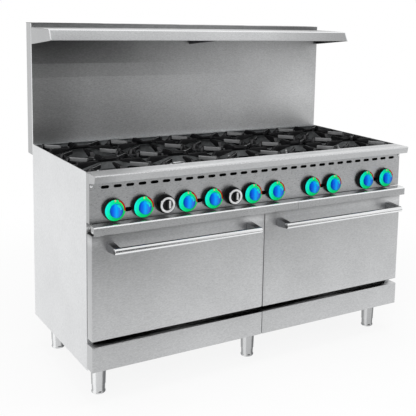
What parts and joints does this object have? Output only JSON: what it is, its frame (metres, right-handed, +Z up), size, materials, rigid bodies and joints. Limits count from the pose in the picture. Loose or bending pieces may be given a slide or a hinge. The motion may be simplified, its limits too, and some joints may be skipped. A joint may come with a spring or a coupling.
{
  "type": "commercial_gas_range",
  "caption": "Free-standing stainless gas range: open burners under cast-iron grates, twin drop-down oven doors with bar handles, crumb trays, tall flue riser with shelf, levelling legs.",
  "frame": {"origin": "floor centre of the bounding box, under the legs", "axes": "+X to the right of a user who stands at the front, +Y towards the rear wall, +Z up; the oven doors face -Y"},
  "size_m": [1.524, 0.8684, 1.4385],
  "materials": {
    "stainless_sheet": "satin brushed sheet",
    "polished_bar": "polished bar",
    "galvanised_sheet": "dull zinc-coated sheet",
    "cast_iron": "black matt casting",
    "porcelain_enamel": "dark glossy enamel on steel",
    "chromed_wire": "bright plated wire",
    "black_pipe": "black gas pipe",
    "knob_moulding": "glossy coloured moulding with a black skirt",
    "black_phenolic": "black moulding with a bright ring",
    "plated_leg": "satin nickel plated"
  },
  "bodies": {
    "cabinet": {"side_panel_left": "stainless_sheet", "side_panel_right": "stainless_sheet", "back_panel": "galvanised_sheet", "base_pan": "galvanised_sheet", "front_rail": "stainless_sheet", "control_panel": "stainless_sheet", "riser": "stainless_sheet", "riser_shelf": "stainless_sheet", "kick_panel_left": "stainless_sheet", "kick_panel_right": "stainless_sheet", "oven_liner_left": "porcelain_enamel", "oven_liner_right": "porcelain_enamel", "oven_rack_left": "chromed_wire", "oven_rack_right": "chromed_wire", "gas_manifold": "black_pipe", "grate_support": "galvanised_sheet", "burner_pair_1": "cast_iron", "burner_pair_2": "cast_iron", "burner_pair_3": "cast_iron", "burner_pair_4": "cast_iron", "burner_pair_5": "cast_iron", "leg_front_left": "plated_leg", "leg_front_middle": "plated_leg", "leg_front_right": "plated_leg", "leg_rear_left": "plated_leg", "leg_rear_middle": "plated_leg", "leg_rear_right": "plated_leg"},
    "door_left": {"door_shell_left": "stainless_sheet", "door_liner_left": "porcelain_enamel", "door_handle_left": "polished_bar"},
    "door_right": {"door_shell_right": "stainless_sheet", "door_liner_right": "porcelain_enamel", "door_handle_right": "polished_bar"},
    "tray_left": {"crumb_tray_left": "stainless_sheet"},
    "tray_right": {"crumb_tray_right": "stainless_sheet"},
    "dial_1": {"burner_knob_1": "knob_moulding"},
    "dial_2": {"burner_knob_2": "knob_moulding"},
    "dial_3": {"burner_knob_3": "knob_moulding"},
    "dial_4": {"burner_knob_4": "knob_moulding"},
    "dial_5": {"burner_knob_5": "knob_moulding"},
    "dial_6": {"burner_knob_6": "knob_moulding"},
    "dial_7": {"burner_knob_7": "knob_moulding"},
    "dial_8": {"burner_knob_8": "knob_moulding"},
    "dial_9": {"burner_knob_9": "knob_moulding"},
    "dial_10": {"burner_knob_10": "knob_moulding"},
    "thermostat_1": {"oven_knob_1": "black_phenolic"},
    "thermostat_2": {"oven_knob_2": "black_phenolic"},
    "front_grate_1": {"grate_front_1": "cast_iron"},
    "front_grate_2": {"grate_front_2": "cast_iron"},
    "front_grate_3": {"grate_front_3": "cast_iron"},
    "front_grate_4": {"grate_front_4": "cast_iron"},
    "front_grate_5": {"grate_front_5": "cast_iron"},
    "rear_grate_1": {"grate_rear_1": "cast_iron"},
    "rear_grate_2": {"grate_rear_2": "cast_iron"},
    "rear_grate_3": {"grate_rear_3": "cast_iron"},
    "rear_grate_4": {"grate_rear_4": "cast_iron"},
    "rear_grate_5": {"grate_rear_5": "cast_iron"}
  },
  "joints": [
    {"name": "door_left_hinge", "type": "hinge", "parent": "cabinet", "child": "door_left", "pos_m": [-0.381, -0.32465, 0.2706], "axis": [1, 0, 0], "range_deg": [0, 90]},
    {"name": "door_right_hinge", "type": "hinge", "parent": "cabinet", "child": "door_right", "pos_m": [0.381, -0.32465, 0.2706], "axis": [1, 0, 0], "range_deg": [0, 90]},
    {"name": "tray_left_slide", "type": "slide", "parent": "cabinet", "child": "tray_left", "axis": [0, -1, 0], "range_m": [0, 0.45]},
    {"name": "tray_right_slide", "type": "slide", "parent": "cabinet", "child": "tray_right", "axis": [0, -1, 0], "range_m": [0, 0.45]},
    {"name": "dial_1_turn", "type": "hinge", "parent": "cabinet", "child": "dial_1", "pos_m": [-0.6678, -0.32865, 0.7653], "axis": [0, -1, 0], "range_deg": [0, 90]},
    {"name": "dial_2_turn", "type": "hinge", "parent": "cabinet", "child": "dial_2", "pos_m": [-0.5514, -0.32865, 0.7653], "axis": [0, -1, 0], "range_deg": [0, 90]},
    {"name": "dial_3_turn", "type": "hinge", "parent": "cabinet", "child": "dial_3", "pos_m": [-0.363, -0.32865, 0.7653], "axis": [0, -1, 0], "range_deg": [0, 90]},
    {"name": "dial_4_turn", "type": "hinge", "parent": "cabinet", "child": "dial_4", "pos_m": [-0.2466, -0.32865, 0.7653], "axis": [0, -1, 0], "range_deg": [0, 90]},
    {"name": "dial_5_turn", "type": "hinge", "parent": "cabinet", "child": "dial_5", "pos_m": [-0.0582, -0.32865, 0.7653], "axis": [0, -1, 0], "range_deg": [0, 90]},
    {"name": "dial_6_turn", "type": "hinge", "parent": "cabinet", "child": "dial_6", "pos_m": [0.0582, -0.32865, 0.7653], "axis": [0, -1, 0], "range_deg": [0, 90]},
    {"name": "dial_7_turn", "type": "hinge", "parent": "cabinet", "child": "dial_7", "pos_m": [0.2466, -0.32865, 0.7653], "axis": [0, -1, 0], "range_deg": [0, 90]},
    {"name": "dial_8_turn", "type": "hinge", "parent": "cabinet", "child": "dial_8", "pos_m": [0.363, -0.32865, 0.7653], "axis": [0, -1, 0], "range_deg": [0, 90]},
    {"name": "dial_9_turn", "type": "hinge", "parent": "cabinet", "child": "dial_9", "pos_m": [0.5514, -0.32865, 0.7653], "axis": [0, -1, 0], "range_deg": [0, 90]},
    {"name": "dial_10_turn", "type": "hinge", "parent": "cabinet", "child": "dial_10", "pos_m": [0.6678, -0.32865, 0.7653], "axis": [0, -1, 0], "range_deg": [0, 90]},
    {"name": "thermostat_1_turn", "type": "hinge", "parent": "cabinet", "child": "thermostat_1", "pos_m": [-0.4572, -0.32865, 0.7653], "axis": [0, -1, 0], "range_deg": [0, 270]},
    {"name": "thermostat_2_turn", "type": "hinge", "parent": "cabinet", "child": "thermostat_2", "pos_m": [-0.1524, -0.32865, 0.7653], "axis": [0, -1, 0], "range_deg": [0, 270]},
    {"name": "front_grate_1_lift", "type": "slide", "parent": "cabinet", "child": "front_grate_1", "axis": [0, 0, 1], "range_m": [0, 0.06]},
    {"name": "front_grate_2_lift", "type": "slide", "parent": "cabinet", "child": "front_grate_2", "axis": [0, 0, 1], "range_m": [0, 0.06]},
    {"name": "front_grate_3_lift", "type": "slide", "parent": "cabinet", "child": "front_grate_3", "axis": [0, 0, 1], "range_m": [0, 0.06]},
    {"name": "front_grate_4_lift", "type": "slide", "parent": "cabinet", "child": "front_grate_4", "axis": [0, 0, 1], "range_m": [0, 0.06]},
    {"name": "front_grate_5_lift", "type": "slide", "parent": "cabinet", "child": "front_grate_5", "axis": [0, 0, 1], "range_m": [0, 0.06]},
    {"name": "rear_grate_1_lift", "type": "slide", "parent": "cabinet", "child": "rear_grate_1", "axis": [0, 0, 1], "range_m": [0, 0.06]},
    {"name": "rear_grate_2_lift", "type": "slide", "parent": "cabinet", "child": "rear_grate_2", "axis": [0, 0, 1], "range_m": [0, 0.06]},
    {"name": "rear_grate_3_lift", "type": "slide", "parent": "cabinet", "child": "rear_grate_3", "axis": [0, 0, 1], "range_m": [0, 0.06]},
    {"name": "rear_grate_4_lift", "type": "slide", "parent": "cabinet", "child": "rear_grate_4", "axis": [0, 0, 1], "range_m": [0, 0.06]},
    {"name": "rear_grate_5_lift", "type": "slide", "parent": "cabinet", "child": "rear_grate_5", "axis": [0, 0, 1], "range_m": [0, 0.06]}
  ]
}
